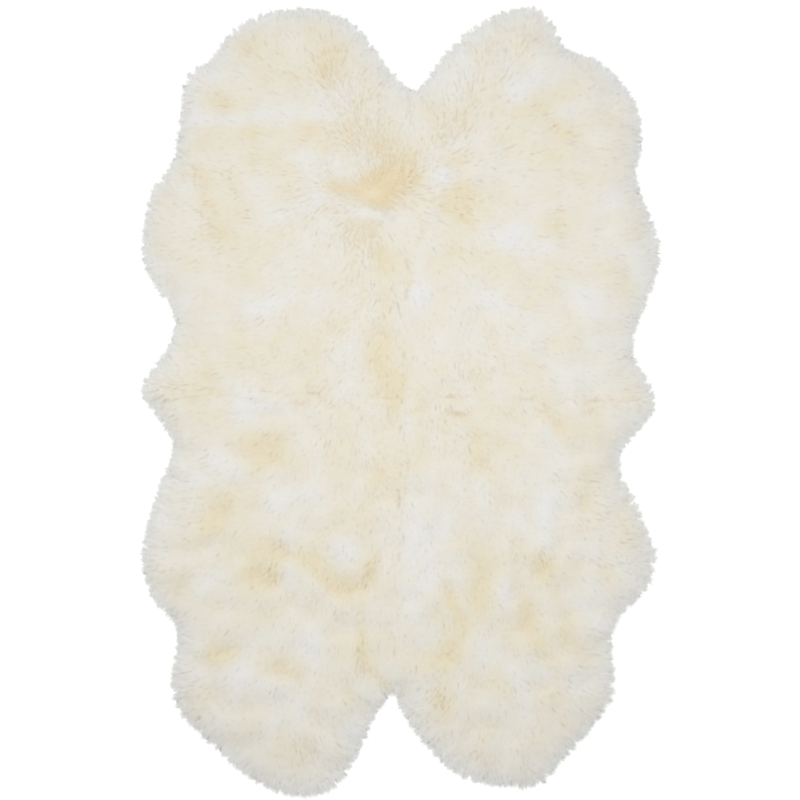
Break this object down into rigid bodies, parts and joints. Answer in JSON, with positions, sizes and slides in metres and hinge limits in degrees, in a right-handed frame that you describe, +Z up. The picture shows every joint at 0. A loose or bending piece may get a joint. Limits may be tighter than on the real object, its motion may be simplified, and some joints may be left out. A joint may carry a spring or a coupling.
{
  "type": "sheepskin rug",
  "caption": "Flat rug of joined sheepskin pelts with deep cream wool. Natural lobed outline with a notch at each end. Lies on a floor.",
  "frame": {"origin": "on the floor, under the middle of the rug's outline", "axes": "+Z up, +Y along the rug's length towards the upper pelts of the picture, +X across it to the picture's right"},
  "size_m": [1.193, 1.819, 0.0529],
  "materials": {
    "wool": "soft combed wool, cream, whiter at the rim",
    "hide": "undyed suede, matt"
  },
  "bodies": {
    "root": {"hide_upper_left": "hide", "hide_upper_right": "hide", "hide_lower_left": "hide", "hide_lower_right": "hide", "fleece_upper_left": "wool", "fleece_upper_right": "wool", "fleece_lower_left": "wool", "fleece_lower_right": "wool"}
  },
  "joints": []
}
